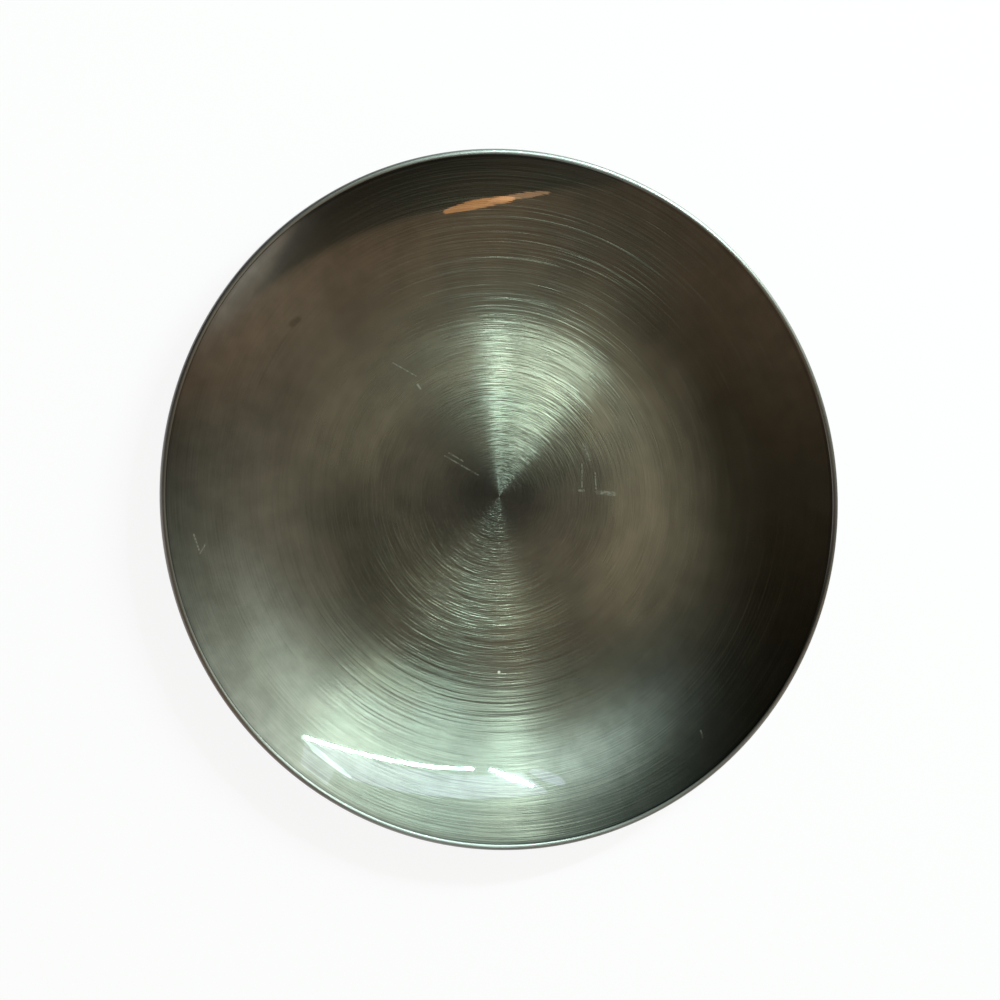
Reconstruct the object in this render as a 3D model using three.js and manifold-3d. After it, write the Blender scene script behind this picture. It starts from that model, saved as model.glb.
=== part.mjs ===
// Round serving platter, in millimetres, +Z up.
// The origin is on the table, straight under the centre of the dish.
// The dish is spun from one sheet, with a flat well, a wall that curves up and an edge rolled round a wire.
// A channel-section foot ring is brazed to the flat underside of the well.
// Push-in bumpers, barbed like mushrooms, sit in holes in the foot ring and meet the table.

import * as THREE from "three";
import { mergeVertices } from "three/addons/utils/BufferGeometryUtils.js";
import Module from "manifold-3d";

// Dish
const PLATTER_DIAMETER = 330;
const WELL_DIAMETER = 156;
const WALL_ANGLE_DEG = 28;
const DISH_SHEET = 0.8;

// Rolled edge and the wire inside it
const WIRE_DIAMETER = 1.4;
const WIRE_CLEARANCE = 0.1;
const CURL_SLIT = 0.35;

// Foot ring
const FOOT_INSET = 4;
const FOOT_HEIGHT = 5;
const FOOT_FLANGE = 13;
const FOOT_SHEET = 1;
const FOOT_BEND = 0.6;

// Bumpers
const BUMPER_COUNT = 6;
const BUMPER_HEAD_DIAMETER = 10;
const BUMPER_HEAD_HEIGHT = 2;
const BUMPER_EDGE_RADIUS = 1;
const BUMPER_STEM_DIAMETER = 4;
const BUMPER_STEM_CLEARANCE = 0.2;
const BUMPER_BARB_LIP = 0.7;
const BUMPER_BARB_LENGTH = 1.4;
const BUMPER_TIP_DIAMETER = 2.6;
const BUMPER_SEAT_CLEARANCE = 0.1;

// Facets
const RING_SEGMENTS = 72;
const WALL_STEPS = 8;
const CURL_INSIDE_STEPS = 10;
const CURL_UNDER_STEPS = 6;
const CURL_EDGE_STEPS = 3;
const CURL_CREST_STEPS = 1;
const WIRE_SIDES = 8;
const BEND_STEPS = 2;
const BUMPER_SEGMENTS = 18;

// Levels and radii that follow from the sizes above
const FULL_TURN = 2 * Math.PI;
const QUARTER_TURN = Math.PI / 2;
const wallAngle = THREE.MathUtils.degToRad(WALL_ANGLE_DEG);
const underside = BUMPER_HEAD_HEIGHT + FOOT_HEIGHT;
const floorLevel = underside + DISH_SHEET;
const wellRadius = WELL_DIAMETER / 2;

// The curl's outer face is tangent to the wall's upper face, and its widest point is the platter's edge.
const curlInner = WIRE_DIAMETER / 2 + WIRE_CLEARANCE;
const curlOuter = curlInner + DISH_SHEET;
const curlReach = PLATTER_DIAMETER / 2 - curlOuter - wellRadius;
const wallRadius = curlReach / Math.sin(wallAngle) - curlOuter;
const wallCentre = new THREE.Vector2(wellRadius, floorLevel + wallRadius);
const curlCentre = new THREE.Vector2(
  wellRadius + curlReach,
  wallCentre.y - (wallRadius + curlOuter) * Math.cos(wallAngle),
);
const curlStart = QUARTER_TURN + wallAngle;
const curlWrap = FULL_TURN - Math.acos((curlInner - CURL_SLIT) / curlOuter);

const footOuter = wellRadius - FOOT_INSET;
const footInner = footOuter - FOOT_FLANGE;
const footBendOuter = FOOT_BEND + FOOT_SHEET;
const bumperCircle = (footInner + footOuter - footBendOuter) / 2;

// Points along an arc in the plane of radius and height, both ends included.
function arc(centre, radius, from, to, steps) {
  return Array.from({ length: steps + 1 }, (_, i) => {
    const angle = THREE.MathUtils.lerp(from, to, i / steps);
    return new THREE.Vector2(Math.cos(angle), Math.sin(angle)).multiplyScalar(radius).add(centre);
  });
}

// A solid turned about Z from an outline that runs anticlockwise in the plane of radius and height.
function turned(outline, segments) {
  return new THREE.LatheGeometry(outline, segments).rotateX(QUARTER_TURN);
}

// The outside of the curl has a point at its widest and at its highest place.
function curlOutside(from, to) {
  return [
    ...arc(curlCentre, curlOuter, from, 0, CURL_UNDER_STEPS),
    ...arc(curlCentre, curlOuter, 0, QUARTER_TURN, CURL_EDGE_STEPS).slice(1),
    ...arc(curlCentre, curlOuter, QUARTER_TURN, to, CURL_CREST_STEPS).slice(1),
  ];
}

// The sheet's outline: out along its underside, round the inside of the curl and back over the top.
function dishOutline() {
  const wallStart = -QUARTER_TURN;
  const wallEnd = wallStart + wallAngle;
  const curlEnd = curlStart - curlWrap;
  return [
    new THREE.Vector2(0, underside),
    ...arc(wallCentre, wallRadius + DISH_SHEET, wallStart, wallEnd, WALL_STEPS),
    ...arc(curlCentre, curlInner, curlStart, curlEnd, CURL_INSIDE_STEPS).slice(1),
    ...curlOutside(curlEnd, curlStart),
    ...arc(wallCentre, wallRadius, wallEnd, wallStart, WALL_STEPS).slice(1),
    new THREE.Vector2(0, floorLevel),
  ];
}

// A channel that opens towards the axis: one flange under the well, one above the bumpers.
function footOutline() {
  const bottom = BUMPER_HEAD_HEIGHT;
  const lowBend = new THREE.Vector2(footOuter - footBendOuter, bottom + footBendOuter);
  const highBend = new THREE.Vector2(footOuter - footBendOuter, underside - footBendOuter);
  const inner = new THREE.Vector2(footInner, bottom);
  return [
    inner,
    ...arc(lowBend, footBendOuter, -QUARTER_TURN, 0, BEND_STEPS),
    ...arc(highBend, footBendOuter, 0, QUARTER_TURN, BEND_STEPS),
    new THREE.Vector2(footInner, underside),
    new THREE.Vector2(footInner, underside - FOOT_SHEET),
    ...arc(highBend, FOOT_BEND, QUARTER_TURN, 0, BEND_STEPS),
    ...arc(lowBend, FOOT_BEND, 0, -QUARTER_TURN, BEND_STEPS),
    new THREE.Vector2(footInner, bottom + FOOT_SHEET),
    inner,
  ];
}

// A round head with a softened edge, a stem as long as the flange is thick, and a barb that tapers to its tip.
function bumperOutline() {
  const headRadius = BUMPER_HEAD_DIAMETER / 2;
  const stemRadius = BUMPER_STEM_DIAMETER / 2;
  const barbLevel = BUMPER_HEAD_HEIGHT + FOOT_SHEET + BUMPER_SEAT_CLEARANCE;
  const edgeCentre = new THREE.Vector2(headRadius - BUMPER_EDGE_RADIUS, BUMPER_EDGE_RADIUS);
  const tipLevel = barbLevel + BUMPER_BARB_LENGTH;
  return [
    new THREE.Vector2(0, 0),
    ...arc(edgeCentre, BUMPER_EDGE_RADIUS, -QUARTER_TURN, 0, BEND_STEPS),
    new THREE.Vector2(headRadius, BUMPER_HEAD_HEIGHT),
    new THREE.Vector2(stemRadius, BUMPER_HEAD_HEIGHT),
    new THREE.Vector2(stemRadius, barbLevel),
    new THREE.Vector2(stemRadius + BUMPER_BARB_LIP, barbLevel),
    new THREE.Vector2(BUMPER_TIP_DIAMETER / 2, tipLevel),
    new THREE.Vector2(0, tipLevel),
  ];
}

const wasm = await Module();
wasm.setup();

// A closed geometry as a solid that can be cut.
function solid(geometry) {
  const bare = geometry.clone();
  bare.deleteAttribute("normal");
  bare.deleteAttribute("uv");
  const merged = mergeVertices(bare);
  const mesh = new wasm.Mesh({
    numProp: 3,
    vertProperties: new Float32Array(merged.attributes.position.array),
    triVerts: new Uint32Array(merged.index.array),
  });
  return new wasm.Manifold(mesh);
}

// A cut solid as a geometry with flat shading.
function geometryOf(cutSolid) {
  const mesh = cutSolid.getMesh();
  const geometry = new THREE.BufferGeometry();
  geometry.setAttribute("position", new THREE.BufferAttribute(new Float32Array(mesh.vertProperties), 3));
  geometry.setIndex(new THREE.BufferAttribute(new Uint32Array(mesh.triVerts), 1));
  const flat = geometry.toNonIndexed();
  flat.computeVertexNormals();
  return flat;
}

// Where each bumper stands, evenly spaced round the foot.
const bumperPlaces = Array.from({ length: BUMPER_COUNT }, (_, i) => {
  const angle = (FULL_TURN * i) / BUMPER_COUNT;
  return new THREE.Vector3(bumperCircle * Math.cos(angle), bumperCircle * Math.sin(angle), 0);
});

// The channel with one hole through its lower flange for each bumper's stem.
function footGeometry() {
  const holeRadius = BUMPER_STEM_DIAMETER / 2 + BUMPER_STEM_CLEARANCE;
  const holeLength = 2 * FOOT_SHEET;
  let ring = solid(turned(footOutline(), RING_SEGMENTS));
  for (const place of bumperPlaces) {
    const drill = new THREE.CylinderGeometry(holeRadius, holeRadius, holeLength, BUMPER_SEGMENTS)
      .rotateX(QUARTER_TURN)
      .translate(place.x, place.y, BUMPER_HEAD_HEIGHT + FOOT_SHEET / 2);
    ring = ring.subtract(solid(drill));
  }
  return geometryOf(ring);
}

const gunmetal = new THREE.MeshStandardMaterial({
  name: "brushed gunmetal",
  color: new THREE.Color().setRGB(0.13, 0.125, 0.105),
  metalness: 1,
  roughness: 0.32,
});
const wireSteel = new THREE.MeshStandardMaterial({
  name: "drawn steel wire",
  color: new THREE.Color().setRGB(0.42, 0.42, 0.41),
  metalness: 1,
  roughness: 0.4,
});
const bumperRubber = new THREE.MeshStandardMaterial({
  name: "soft black rubber",
  color: new THREE.Color().setRGB(0.02, 0.02, 0.02),
  metalness: 0,
  roughness: 0.7,
});

const platter = new THREE.Group();

// One piece of the platter, at its place.
function addPiece(name, geometry, material, place = new THREE.Vector3()) {
  const piece = new THREE.Mesh(geometry, material);
  piece.name = name;
  piece.position.copy(place);
  platter.add(piece);
}

addPiece("dish", turned(dishOutline(), RING_SEGMENTS), gunmetal);
addPiece(
  "rim_wire",
  turned(arc(curlCentre, WIRE_DIAMETER / 2, 0, FULL_TURN, WIRE_SIDES), RING_SEGMENTS),
  wireSteel,
);
addPiece("foot_ring", footGeometry(), gunmetal);
bumperPlaces.forEach((place, i) => {
  addPiece(`bumper_${i + 1}`, turned(bumperOutline(), BUMPER_SEGMENTS), bumperRubber, place);
});

export default platter;
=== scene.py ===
# %% [markdown]
# # A round serving platter of brushed and lacquered metal
# The real platter is a shallow dish, spun on a lathe from one sheet of dark metal. Its surface is brushed
# in fine circles and sealed under a clear gloss lacquer, and its edge is rolled round a wire. Underneath
# there is a foot ring with soft bumpers. This lesson loads the plain solids of the part as a fixed frame,
# and dresses them piece by piece.

# %% Load the solids as the frame
import math

import bpy
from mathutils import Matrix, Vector


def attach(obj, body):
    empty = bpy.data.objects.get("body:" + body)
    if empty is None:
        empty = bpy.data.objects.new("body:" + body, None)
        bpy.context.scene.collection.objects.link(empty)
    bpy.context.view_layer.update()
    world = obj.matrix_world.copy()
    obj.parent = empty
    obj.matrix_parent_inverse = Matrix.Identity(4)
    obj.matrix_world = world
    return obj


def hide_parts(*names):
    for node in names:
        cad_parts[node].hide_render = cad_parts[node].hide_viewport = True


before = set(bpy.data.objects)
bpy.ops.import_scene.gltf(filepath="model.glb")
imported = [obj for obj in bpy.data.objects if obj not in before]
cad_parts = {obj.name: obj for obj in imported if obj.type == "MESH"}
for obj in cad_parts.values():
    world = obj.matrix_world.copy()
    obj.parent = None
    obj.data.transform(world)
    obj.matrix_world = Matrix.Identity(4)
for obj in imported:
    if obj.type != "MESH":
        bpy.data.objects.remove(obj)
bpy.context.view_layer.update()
print("solids:", ", ".join(sorted(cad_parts)))

# %% [markdown]
# ## Camera
# The photo looks almost straight down, from a little to the left, so the round edge shows as a slightly
# narrow oval. The oval's two widths give the tilt, its lean gives the direction, and a long lens from over
# a metre away keeps the far side from shrinking. The camera could be placed by eye, but a direction and a
# distance are easier to correct.

# %% Place the camera
CAMERA_TILT = math.radians(15.603)
CAMERA_HEADING = math.radians(192.354)
CAMERA_DISTANCE = 1.3
CAMERA_LENS = 99.57
SENSOR_WIDTH = 36
RIM_LEVEL = 0.0275
AIM = Vector((-0.00475, -0.00143, RIM_LEVEL))

towards_camera = Vector((
    math.sin(CAMERA_TILT) * math.cos(CAMERA_HEADING),
    math.sin(CAMERA_TILT) * math.sin(CAMERA_HEADING),
    math.cos(CAMERA_TILT),
))
camera_data = bpy.data.cameras.new("photo_camera")
camera_data.lens = CAMERA_LENS
camera_data.sensor_width = SENSOR_WIDTH
camera = bpy.data.objects.new("photo_camera", camera_data)
camera.location = Vector((0, 0, RIM_LEVEL)) + CAMERA_DISTANCE * towards_camera
looking = (AIM - camera.location).normalized()
across = looking.cross(Vector((0, 1, 0))).normalized()
upwards = across.cross(looking)
turn = camera.matrix_world.to_3x3()
for row in range(3):
    turn[row] = (across[row], upwards[row], -looking[row])
camera.rotation_euler = turn.to_euler()
bpy.context.scene.collection.objects.link(camera)
bpy.context.scene.camera = camera
bpy.context.scene.view_settings.view_transform = "Standard"
print("camera at", tuple(round(v, 4) for v in camera.location))

# %% [markdown]
# ## Helpers for node trees
# Geometry, materials and the world are all node trees. Each could be clicked together in the editor. In a
# script, one short function that adds a node, sets its options and joins its inputs keeps the trees
# readable.


# %% Add a node and join its inputs
def join(tree, socket, value):
    if isinstance(value, bpy.types.NodeSocket):
        tree.links.new(value, socket)
    else:
        socket.default_value = value


def add(tree, kind, inputs=None, **options):
    node = tree.nodes.new(kind)
    for name, value in options.items():
        setattr(node, name, value)
    for key, value in (inputs or {}).items():
        join(tree, node.inputs[key], value)
    return node


# %% Sums with numbers and with vectors
def calc(tree, operation, *values):
    node = add(tree, "ShaderNodeMath", operation=operation)
    for socket, value in zip(node.inputs, values):
        join(tree, socket, value)
    return node.outputs[0]


def total(tree, first, *others):
    for value in others:
        first = calc(tree, "ADD", first, value)
    return first


def product(tree, first, *others):
    for value in others:
        first = calc(tree, "MULTIPLY", first, value)
    return first


def vector(tree, operation, *values):
    node = add(tree, "ShaderNodeVectorMath", operation=operation)
    for socket, value in zip(node.inputs, values):
        join(tree, socket, value)
    return node.outputs["Value" if operation in ("LENGTH", "DOT_PRODUCT") else "Vector"]


def stretch(tree, direction, amount):
    scaled = vector(tree, "SCALE", direction)
    join(tree, scaled.node.inputs["Scale"], amount)
    return scaled


# %% [markdown]
# ## Turned forms
# The dish, the edge wire, the foot ring and the bumpers are all turned: an outline carried round an axis.
# The Screw modifier or a spin would do it too. A Geometry Nodes tree that sweeps the outline along a
# circle has its number of segments as a named input, and the same group serves every turned piece. The
# circle can have any radius, because the outline is moved in by as much. Outlines are written
# anticlockwise, with the axis to their left. Swept that way their faces look inwards, so the tree flips
# them: each piece then prints a volume above zero.

# %% The tree that carries an outline round the Z axis
QUARTER = math.pi / 2
WELD_DISTANCE = 1e-6
TURNED_INPUTS = [
    ("Outline", "NodeSocketGeometry"),
    ("Segments", "NodeSocketInt"),
    ("Path Radius", "NodeSocketFloat"),
    ("Sharp Angle", "NodeSocketFloat"),
]


def new_geometry_tree(name, inputs):
    tree = bpy.data.node_groups.new(name, "GeometryNodeTree")
    for socket_name, socket_type in inputs:
        tree.interface.new_socket(socket_name, in_out="INPUT", socket_type=socket_type)
    tree.interface.new_socket("Geometry", in_out="OUTPUT", socket_type="NodeSocketGeometry")
    return tree, tree.nodes.new("NodeGroupInput").outputs


def give(tree, geometry):
    result = tree.nodes.new("NodeGroupOutput")
    tree.links.new(geometry, result.inputs["Geometry"])
    return tree


def crease(tree, geometry, sharp_angle):
    edge_angle = add(tree, "GeometryNodeInputMeshEdgeAngle").outputs["Unsigned Angle"]
    gentle = add(tree, "FunctionNodeCompare", {0: edge_angle, 1: sharp_angle}, operation="LESS_THAN")
    smooth = add(tree, "GeometryNodeSetShadeSmooth", {
        "Geometry": geometry, "Shade Smooth": True,
    }, domain="FACE")
    return add(tree, "GeometryNodeSetShadeSmooth", {
        "Geometry": smooth.outputs[0], "Shade Smooth": gentle.outputs[0],
    }, domain="EDGE").outputs[0]


def build_turned_tree():
    tree, given = new_geometry_tree("turned form", TURNED_INPUTS)
    outline = add(tree, "GeometryNodeMeshToCurve", {"Mesh": given["Outline"]}).outputs[0]
    inward = calc(tree, "MULTIPLY", given["Path Radius"], -1.0)
    shift = add(tree, "ShaderNodeCombineXYZ", {"X": inward}).outputs[0]
    profile = add(tree, "GeometryNodeTransform", {
        "Geometry": outline, "Translation": shift, "Rotation": (QUARTER, 0, 0),
    }).outputs[0]
    path = add(tree, "GeometryNodeCurvePrimitiveCircle", {
        "Resolution": given["Segments"], "Radius": given["Path Radius"],
    }).outputs[0]
    swept = add(tree, "GeometryNodeCurveToMesh", {"Curve": path, "Profile Curve": profile}).outputs[0]
    outward = add(tree, "GeometryNodeFlipFaces", {"Mesh": swept}).outputs[0]
    welded = add(tree, "GeometryNodeMergeByDistance", {
        "Geometry": outward, "Distance": WELD_DISTANCE,
    }).outputs[0]
    return give(tree, crease(tree, welded, given["Sharp Angle"]))


turned_tree = build_turned_tree()
print("tree:", turned_tree.name, "with", len(turned_tree.nodes), "nodes")

# %% [markdown]
# A piece starts as a loose outline with the tree as a modifier. Applying the modifier in the window would
# end the same way. Here the evaluated result becomes a plain mesh, the modifier goes, and the size of the
# piece is printed.


# %% How a piece is made with the tree
def turn_inside(tree, given):
    turned = tree.nodes.new("GeometryNodeGroup")
    turned.node_tree = turned_tree
    for name, _ in TURNED_INPUTS:
        tree.links.new(given[name], turned.inputs[name])
    return turned.outputs[0]


def coat(tree, geometry, material):
    real = add(tree, "GeometryNodeRealizeInstances", {"Geometry": geometry}).outputs[0]
    return add(tree, "GeometryNodeSetMaterial", {"Geometry": real, "Material": material}).outputs[0]


def build_single_tree():
    tree, given = new_geometry_tree("one turned piece", TURNED_INPUTS + [("Material", "NodeSocketMaterial")])
    return give(tree, coat(tree, turn_inside(tree, given), given["Material"]))


def outline_object(name, points, closed):
    mesh = bpy.data.meshes.new(name)
    count = len(points)
    edges = [(i, (i + 1) % count) for i in range(count if closed else count - 1)]
    mesh.from_pydata([(r, 0, z) for r, z in points], edges, [])
    piece = bpy.data.objects.new(name, mesh)
    bpy.context.scene.collection.objects.link(piece)
    return piece


def run_tree(piece, tree, values):
    modifier = piece.modifiers.new(tree.name, "NODES")
    modifier.node_group = tree
    for item in tree.interface.items_tree:
        if item.in_out == "INPUT" and item.name in values:
            modifier[item.identifier] = values[item.name]
    made = bpy.data.meshes.new_from_object(piece.evaluated_get(bpy.context.evaluated_depsgraph_get()))
    piece.modifiers.clear()
    piece.data = made
    made.name = piece.name
    made.calc_loop_triangles()
    corners = [[made.vertices[i].co for i in triangle.vertices] for triangle in made.loop_triangles]
    volume = sum(a.dot(b.cross(c)) for a, b, c in corners) / 6
    print(piece.name, ":", len(corners), "triangles, volume", round(volume * 1e6, 3), "cubic centimetres")
    return piece


single_tree = build_single_tree()
print("tree:", single_tree.name, "with", len(single_tree.nodes), "nodes")

# %% [markdown]
# ## Outline of the dish
# An outline is half of a piece as it would look cut down the middle: distance from the axis across, height
# up. The wall of the dish is one arc that leaves the flat well without a kink, and the rolled edge is a
# second arc. On the real dish a fine crease shows where the sheet turns into the roll, so here the wall
# dips a little below the roll. The other sizes are those of the solids, so every piece lands where its
# solid is.

# %% Sizes of the dish, in metres
PLATTER_RADIUS = 0.165
WELL_RADIUS = 0.078
WALL_ANGLE = math.radians(28)
DISH_SHEET = 0.0008
WIRE_RADIUS = 0.0007
WIRE_CLEARANCE = 0.0001
CURL_SLIT = 0.00035
ROLL_CREASE = 0.0002
HEAD_HEIGHT = 0.002
FOOT_HEIGHT = 0.005

underside = HEAD_HEIGHT + FOOT_HEIGHT
well_level = underside + DISH_SHEET
curl_inner = WIRE_RADIUS + WIRE_CLEARANCE
curl_outer = curl_inner + DISH_SHEET
curl_reach = PLATTER_RADIUS - curl_outer - WELL_RADIUS
wall_radius = curl_reach / math.sin(WALL_ANGLE) - curl_outer
wall_centre = (WELL_RADIUS, well_level + wall_radius)
curl_centre = (
    WELL_RADIUS + curl_reach,
    wall_centre[1] - (wall_radius + curl_outer) * math.cos(WALL_ANGLE),
)
print("wall radius", round(wall_radius, 4), "edge wire at", [round(v, 5) for v in curl_centre])

# %% The outline of the spun sheet
CREASE_ONSET = 6
WELL_STEPS = 12
UNDER_STEPS = 36
WALL_STEPS = 40
INNER_CURL_STEPS = 28
LOWER_CURL_STEPS = 24
OUTER_CURL_STEPS = 12
ROLL_STEPS = 8


def arc(centre, radius, start, end, steps):
    angles = [start + (end - start) * i / steps for i in range(steps + 1)]
    return [(centre[0] + radius * math.cos(a), centre[1] + radius * math.sin(a)) for a in angles]


def wall_face(end, steps):
    points = []
    for i in range(steps + 1):
        share_of_wall = i / steps
        angle = -QUARTER + end * share_of_wall
        radius = wall_radius + ROLL_CREASE * share_of_wall ** CREASE_ONSET
        points.append((wall_centre[0] + radius * math.cos(angle), wall_centre[1] + radius * math.sin(angle)))
    return points


def dish_outline():
    roll_lap = math.acos(1 - ROLL_CREASE / curl_outer)
    curl_start = QUARTER + WALL_ANGLE
    curl_end = curl_start - 2 * math.pi + math.acos((curl_inner - CURL_SLIT) / curl_outer)
    wall_end = WALL_ANGLE - math.atan(curl_outer * math.sin(roll_lap) / (wall_radius + ROLL_CREASE))
    well_radii = [WELL_RADIUS * i / WELL_STEPS for i in range(WELL_STEPS)]
    under = [(r, underside) for r in well_radii]
    under += arc(wall_centre, wall_radius + DISH_SHEET, -QUARTER, -QUARTER + WALL_ANGLE, UNDER_STEPS)
    inside_curl = arc(curl_centre, curl_inner, curl_start, curl_end, INNER_CURL_STEPS)[1:]
    outside_curl = arc(curl_centre, curl_outer, curl_end, 0, LOWER_CURL_STEPS)
    outside_curl += arc(curl_centre, curl_outer, 0, QUARTER, OUTER_CURL_STEPS)[1:]
    outside_curl += arc(curl_centre, curl_outer, QUARTER, curl_start + roll_lap, ROLL_STEPS)[1:]
    over = wall_face(wall_end, WALL_STEPS)[::-1][1:]
    over += [(r, well_level) for r in reversed(well_radii)]
    return under + inside_curl + outside_curl + over


dish_points = dish_outline()
print("dish outline:", len(dish_points), "points")

# %% [markdown]
# ## Brushed metal under clear lacquer
# The sheet was brushed while it turned, so its grain runs in circles. Grain spreads a highlight across its
# own direction: that is why the flat well shows a bow tie of light through the centre. A picture of brush
# marks would do for one view only. The shader's anisotropy with a tangent that runs round the axis makes
# the bow tie in every view, and noise that is stretched along the circles adds the single strokes. The
# lacquer is the shader's coat.

# %% A new material with its shader
COLOUR_SOCKETS = (0, 6, 7)
COLOUR_RESULT = 2


def new_material(name):
    material = bpy.data.materials.new(name)
    material.use_nodes = True
    tree = material.node_tree
    tree.nodes.clear()
    shader = tree.nodes.new("ShaderNodeBsdfPrincipled")
    output = tree.nodes.new("ShaderNodeOutputMaterial")
    tree.links.new(shader.outputs["BSDF"], output.inputs["Surface"])
    return material, tree, shader


def dress(tree, shader, inputs):
    for name, value in inputs.items():
        join(tree, shader.inputs[name], value)


def carve(tree, shader, height, depth):
    relief = add(tree, "ShaderNodeBump", {"Height": height, "Strength": 1.0, "Distance": depth})
    dress(tree, shader, {"Normal": relief.outputs["Normal"]})


def lay_over(tree, amount, under, over):
    mix = add(tree, "ShaderNodeMixShader", {0: amount, 1: under.outputs[0], 2: over.outputs[0]})
    output = next(node for node in tree.nodes if node.bl_idname == "ShaderNodeOutputMaterial")
    tree.links.new(mix.outputs[0], output.inputs["Surface"])


def blend_colour(tree, factor, first, second, blend_type="MIX"):
    mix = add(tree, "ShaderNodeMix", data_type="RGBA", blend_type=blend_type)
    for index, value in zip(COLOUR_SOCKETS, (factor, first, second)):
        join(tree, mix.inputs[index], value)
    return mix.outputs[COLOUR_RESULT]


def tinted(tree, colour, value):
    grey = add(tree, "ShaderNodeCombineColor", {"Red": value, "Green": value, "Blue": value}).outputs[0]
    return blend_colour(tree, 1.0, colour, grey, "MULTIPLY")


# %% [markdown]
# Noise nodes give values round a half. Small helpers turn them into what a finish needs: a share from
# nothing to all, a value that varies between two others, or a swing to either side of zero. Patches are
# given by the scale of their noise and by the two noise values between which they come in.

# %% Values from noise
CLOUD_ROUGHNESS = 0.55
NOISE_LOW, NOISE_HIGH = 0.3, 0.7
GROOVE_SWING = 0.3


def remap(tree, value, low, high, to_low, to_high, kind="LINEAR"):
    return add(tree, "ShaderNodeMapRange", {
        "Value": value, "From Min": low, "From Max": high, "To Min": to_low, "To Max": to_high,
    }, interpolation_type=kind).outputs["Result"]


def share(tree, value, nothing, everything, kind="LINEAR"):
    return remap(tree, value, nothing, everything, 0.0, 1.0, kind)


def vary(tree, noise, low, high):
    return remap(tree, noise, NOISE_LOW, NOISE_HIGH, low, high)


def vary_groove(tree, groove, low, high):
    return remap(tree, groove, -GROOVE_SWING, GROOVE_SWING, low, high)


def centred(tree, noise, reach):
    return calc(tree, "MULTIPLY", calc(tree, "SUBTRACT", noise, 0.5), reach)


def cloud(tree, place, scale, detail=3.0):
    return add(tree, "ShaderNodeTexNoise", {
        "Vector": place, "Scale": scale, "Detail": detail, "Roughness": CLOUD_ROUGHNESS,
    }).outputs["Fac"]


def patches(tree, place, size, low=0.0, high=1.0, detail=3.0):
    scale, nothing, everything = size
    return remap(tree, cloud(tree, place, scale, detail), nothing, everything, low, high)


# %% [markdown]
# ### Strokes of the brush
# Each stroke is a groove, and its two sides lean out and in. Where a side leans the right way it flashes
# the lamp, and where the room is evenly dark nothing shows. Bright lines painted on the metal would be
# simpler, but they would stay where they are when the light moves. So the strokes lean the normal of the
# metal, and only tint its colour a little. Their noise is read at the direction from the axis, which
# changes slowly, and at the distance from it, which changes fast: that draws it out into arcs. A groove is
# the difference between the noise and the same noise half a stroke further out.

# %% Noise in strokes that run round the axis
STROKE_ROUGHNESS = 0.6


def own_place(tree):
    return add(tree, "ShaderNodeTexCoord").outputs["Object"]


def round_place(tree, place, centre=(0, 0, 0)):
    flat = vector(tree, "MULTIPLY", vector(tree, "SUBTRACT", place, centre), (1, 1, 0))
    return vector(tree, "LENGTH", flat), vector(tree, "NORMALIZE", flat)


def strokes(tree, radius, heading, size, detail=2.0):
    width, turns, seed = size
    lift = add(tree, "ShaderNodeCombineXYZ", {"Z": calc(tree, "DIVIDE", radius, width)}).outputs[0]
    along = vector(tree, "MULTIPLY", heading, (turns, turns, 0))
    where = vector(tree, "ADD", vector(tree, "ADD", along, lift), (seed, seed, seed))
    return add(tree, "ShaderNodeTexNoise", {
        "Vector": where, "Scale": 1.0, "Detail": detail, "Roughness": STROKE_ROUGHNESS,
    }).outputs["Fac"]


def grooves(tree, radius, heading, size):
    here = strokes(tree, radius, heading, size, 0.0)
    beside = strokes(tree, calc(tree, "ADD", radius, size[0] / 2), heading, size, 0.0)
    return calc(tree, "SUBTRACT", here, beside)


# %% [markdown]
# The brush left strokes of several sizes. For each the width is in metres, then comes how many strokes
# follow each other round a sixth of the dish, and a number that picks another place in the noise. A few
# deep strokes lean further than the rest and catch light where the others have lost it.

# %% The strokes in their sizes
FINE_GRAIN = (0.00045, 7.0, 3.0)
SHORT_STROKES = (0.0006, 3.5, 7.0)
LONG_STROKES = (0.0011, 1.6, 11.0)
DEEP_STROKES = (0.0006, 1.5, 31.0)
DRIFTING_STROKES = (0.0009, 5.0, 47.0)
TINTED_LINES = (0.00045, 5.0, 61.0)
WIDE_BANDS = (0.009, 0.7, 23.0)
SPECKLE_SCALE = 1300.0
DEEPEST = (0.62, 0.68)


def brush_strokes(tree, place, radius, heading):
    deep = strokes(tree, radius, heading, DEEP_STROKES, 0.0)
    return {
        "speckle": centred(tree, cloud(tree, place, SPECKLE_SCALE, 1.0), 1.0),
        "grain": grooves(tree, radius, heading, FINE_GRAIN),
        "short": grooves(tree, radius, heading, SHORT_STROKES),
        "long": grooves(tree, radius, heading, LONG_STROKES),
        "drift": grooves(tree, radius, heading, DRIFTING_STROKES),
        "deep": share(tree, deep, *DEEPEST),
        "lines": strokes(tree, radius, heading, TINTED_LINES, 0.0),
        "bands": strokes(tree, radius, heading, WIDE_BANDS),
    }
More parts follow.
